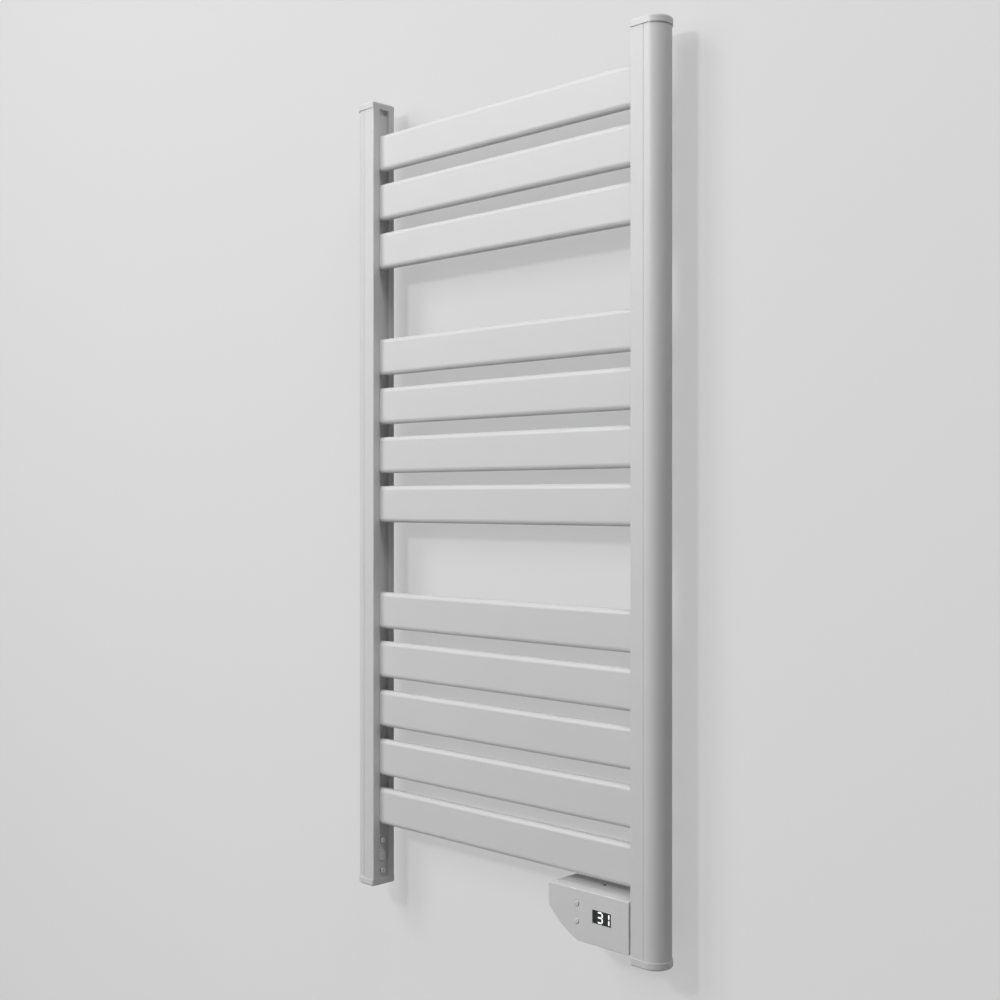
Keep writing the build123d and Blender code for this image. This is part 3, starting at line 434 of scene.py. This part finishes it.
class RADIATOR_OT_buttons(bpy.types.Operator):
    """Two raised, slightly crowned buttons with their flanges and stems"""
    bl_idname = "towel_rail.buttons"
    bl_label = "Buttons"

    def execute(self, context):
        settings = context.scene.towel_rail_display
        for name, body in (("button_up", "up_button"), ("button_down", "down_button")):
            low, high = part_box(name)
            centre = ((low[0] + high[0]) / 2, (low[2] + high[2]) / 2)
            front, back = low[1], high[1]
            outer, flat = BUTTON_RADIUS, BUTTON_RADIUS - settings.button_rim
            # The crown is a parabola, y = front + crown (r / flat)^2, and the rim a quarter ellipse
            across = np.linspace(0, flat, 10)
            crown = np.stack([across, front + settings.button_crown * (across / flat) ** 2], axis=-1)
            turn = np.linspace(0, math.pi / 2, 9)[1:]
            drop = settings.button_rim * (1 - np.cos(turn))
            edge = np.stack([flat + settings.button_rim * np.sin(turn),
                             front + settings.button_crown + drop], axis=-1)
            rest = np.array([(outer, front + FLANGE_FRONT), (FLANGE_RADIUS, front + FLANGE_FRONT),
                             (FLANGE_RADIUS, front + FLANGE_BACK), (STEM_RADIUS, front + FLANGE_BACK),
                             (STEM_RADIUS, back), (0, back)])
            add_piece(f"raised_{name}", [turned(np.vstack([crown, edge, rest]), centre)],
                      bpy.data.materials["button_abs"], body, (name,), 60)
        return {"FINISHED"}


# Sizes of a post screw in metres: its head's radius, height and rounding, and its shank's radius
HEAD_RADIUS, HEAD_RISE, HEAD_EDGE, SHANK_RADIUS = 0.0033, 0.0022, 0.0009, 0.002


def screw_head(centre, seat, settings, outer=HEAD_RADIUS, rise=HEAD_RISE, edge=HEAD_EDGE):
    """Pan head facing +X: height falls from the middle to a rounded edge, less a cross recess.

    h(r) = rise - edge (1 - sqrt(1 - ((r - flat) / edge)^2)) beyond the flat part; the recess takes
    its depth off where |y| or |z| is under half an arm's width and the other under half its length.
    """
    radius = np.concatenate([np.linspace(0.00012, outer - edge, 22),
                             outer - edge + edge * np.sin(np.linspace(0, math.pi / 2, 8)[1:])])
    angle = np.arange(96) * 2 * math.pi / 96
    y, z = np.outer(radius, np.cos(angle)), np.outer(radius, np.sin(angle))
    beyond = np.clip((radius - (outer - edge)) / edge, 0, 1)
    height = np.repeat((rise - edge * (1 - np.sqrt(1 - beyond ** 2)))[:, None], 96, axis=1)
    narrow, long = settings.recess_width / 2, settings.recess_length / 2
    arm = np.minimum(np.maximum(np.abs(y) / narrow, np.abs(z) / long),
                     np.maximum(np.abs(z) / narrow, np.abs(y) / long))
    height -= settings.recess_depth * np.clip((1.15 - arm) / 0.3, 0, 1)
    top = np.stack([seat + height, centre[0] + y, centre[1] + z], axis=-1)
    base = np.stack([np.full(96, seat), centre[0] + outer * np.cos(angle),
                     centre[1] + outer * np.sin(angle)], axis=-1)
    return skin(np.concatenate([top, base[None]]))


class RADIATOR_OT_screws(bpy.types.Operator):
    """The two pan-head screws in the left post's channel, with cross recesses"""
    bl_idname = "towel_rail.screws"
    bl_label = "Post screws"

    def execute(self, context):
        settings = context.scene.towel_rail_display
        low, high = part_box("blanking_screws")
        y = (low[1] + high[1]) / 2
        seat = high[0] - HEAD_RISE
        turn = np.arange(24) * 2 * math.pi / 24
        shapes = []
        for z in (low[2] + HEAD_RADIUS, high[2] - HEAD_RADIUS):
            shapes.append(screw_head((y, z), seat, settings))
            ring = np.stack([np.zeros(24), y + SHANK_RADIUS * np.cos(turn),
                             z + SHANK_RADIUS * np.sin(turn)], axis=-1)
            shapes.append(skin(np.stack([ring + (low[0], 0, 0), ring + (seat, 0, 0)])))
        add_piece("pan_head_screws", shapes, bpy.data.materials["zinc_plated_steel"], "radiator",
                  ("blanking_screws",), 40)
        return {"FINISHED"}


# The sensor's tip in metres: how far it stands out of the box, its dome's height and its length
TIP_PROUD, TIP_DOME, TIP_LENGTH = 0.0005, 0.0009, 0.0022


class RADIATOR_OT_sensor(bpy.types.Operator):
    """Domed rubber tip in the room sensor's hole on the controller's top"""
    bl_idname = "towel_rail.sensor"
    bl_label = "Sensor tip"

    def execute(self, context):
        settings = context.scene.towel_rail_display
        low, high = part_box("room_sensor")
        bead = (high[0] - low[0]) / 2
        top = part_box("controller_rear_housing")[1][2] + TIP_PROUD
        radius = settings.sensor_tip / 2
        # The dome is a quarter ellipse, r = radius cos t and z = top - dome (1 - sin t)
        turn = np.linspace(math.pi / 2, 0, 9)
        dome = np.stack([radius * np.cos(turn), top - TIP_DOME * (1 - np.sin(turn))], axis=-1)
        profile = np.vstack([dome, [(radius, top - TIP_LENGTH), (0, top - TIP_LENGTH)]])
        points, faces = turned(profile, (low[0] + bead, high[1] - bead), 32)
        add_piece("sensor_tip", [(points[:, [0, 2, 1]], faces)], bpy.data.materials["epdm_rubber"],
                  "radiator", (), 50)
        return {"FINISHED"}


# Wall and floor in metres: the wall stands a hair behind the cups so that no faces coincide
WALL_Y, WALL_TOP, REACH = 0.0004, 4, 6


class RADIATOR_OT_stage(bpy.types.Operator):
    """Wall, floor, lamps and camera"""
    bl_idname = "towel_rail.stage"
    bl_label = "Stage"

    def execute(self, context):
        settings = context.scene.towel_rail_stage
        floor_z = cad_box[0][2] - settings.floor_drop
        wall = bpy.data.meshes.new("wall")
        wall.from_pydata([(-REACH, WALL_Y, floor_z), (REACH, WALL_Y, floor_z), (REACH, WALL_Y, WALL_TOP),
                          (-REACH, WALL_Y, WALL_TOP)], [], [(0, 1, 2, 3)])
        floor = bpy.data.meshes.new("floor")
        floor.from_pydata([(-REACH, WALL_Y, floor_z), (-REACH, -REACH, floor_z), (REACH, -REACH, floor_z),
                           (REACH, WALL_Y, floor_z)], [], [(0, 1, 2, 3)])
        for mesh, colour in ((wall, settings.wall), (floor, settings.floor)):
            mesh.materials.append(stage_material(f"{mesh.name}_paint", colour))
            piece = bpy.data.objects.new(mesh.name, mesh)
            context.scene.collection.objects.link(piece)
        for name, place, aim, size, power in (
                ("left_panel", (-1.8, -2.2, 0.8), (0, 0, 0), 1.2, settings.left),
                ("key_panel", (-0.25, -2.5, 1.15), (0, 0, 0), 0.3, settings.key),
                ("high_panel", (-1.4, -2.2, 2.0), (0, 0, 0), 1.2, settings.high),
                ("top_panel", (1.0, -0.6, 2.2), (0, 0, 0), 0.6, settings.above)):
            lamp = bpy.data.lights.new(name, "AREA")
            lamp.shape = "SQUARE"
            lamp.size = size
            lamp.energy = power
            fixture = bpy.data.objects.new(name, lamp)
            context.scene.collection.objects.link(fixture)
            fixture.location = place
            direction = np.array(aim, float) - np.array(place, float)
            turn = math.atan2(-direction[0], direction[1])
            rise = math.atan2(direction[2], math.hypot(direction[0], direction[1]))
            fixture.rotation_euler = (math.pi / 2 + rise, 0, turn)
        world = bpy.data.worlds.new("surroundings")
        world.use_nodes = True
        tree = world.node_tree
        tree.nodes.clear()
        light = add_node(tree, "ShaderNodeBackground", {"Color": (1, 1, 1, 1), "Strength": settings.world})
        pale = add_node(tree, "ShaderNodeBackground", {"Color": settings.wall, "Strength": 0.8})
        both = add_node(tree, "ShaderNodeMixShader",
                        {0: background_rays(tree), 1: light.outputs[0], 2: pale.outputs[0]})
        output = add_node(tree, "ShaderNodeOutputWorld")
        tree.links.new(both.outputs[0], output.inputs["Surface"])
        context.scene.world = world
        camera = bpy.data.objects.new("camera", bpy.data.cameras.new("camera"))
        camera.data.lens = 50
        camera.data.sensor_width = 36
        camera.location = (1.1057, -1.1446, -0.02496)
        camera.rotation_euler = (math.pi / 2, 0, math.pi / 4)
        context.scene.collection.objects.link(camera)
        context.scene.camera = camera
        context.scene.view_settings.view_transform = "Standard"
        return {"FINISHED"}


PIECES = (RADIATOR_OT_finishes, RADIATOR_OT_digits, RADIATOR_OT_buttons, RADIATOR_OT_screws,
          RADIATOR_OT_sensor, RADIATOR_OT_stage)


class RADIATOR_PT_pieces(bpy.types.Panel):
    """Lists the radiator's pieces and settings in the sidebar"""
    bl_label = "Towel radiator"
    bl_space_type = "VIEW_3D"
    bl_region_type = "UI"
    bl_category = "Towel radiator"

    def draw(self, context):
        for piece in PIECES:
            self.layout.operator(piece.bl_idname)


CLASSES = (ColourSettings, StageSettings, DisplaySettings, *PIECES, RADIATOR_PT_pieces)


def register():
    for kind in CLASSES:
        bpy.utils.register_class(kind)
    bpy.types.Scene.towel_rail_colours = bpy.props.PointerProperty(type=ColourSettings)
    bpy.types.Scene.towel_rail_stage = bpy.props.PointerProperty(type=StageSettings)
    bpy.types.Scene.towel_rail_display = bpy.props.PointerProperty(type=DisplaySettings)


def unregister():
    del bpy.types.Scene.towel_rail_display
    del bpy.types.Scene.towel_rail_stage
    del bpy.types.Scene.towel_rail_colours
    for kind in reversed(CLASSES):
        bpy.utils.unregister_class(kind)


def main():
    """Makes the whole scene."""
    register()
    for piece in PIECES:
        family, name = piece.bl_idname.split(".")
        getattr(getattr(bpy.ops, family), name)()


if __name__ == "__main__":
    main()
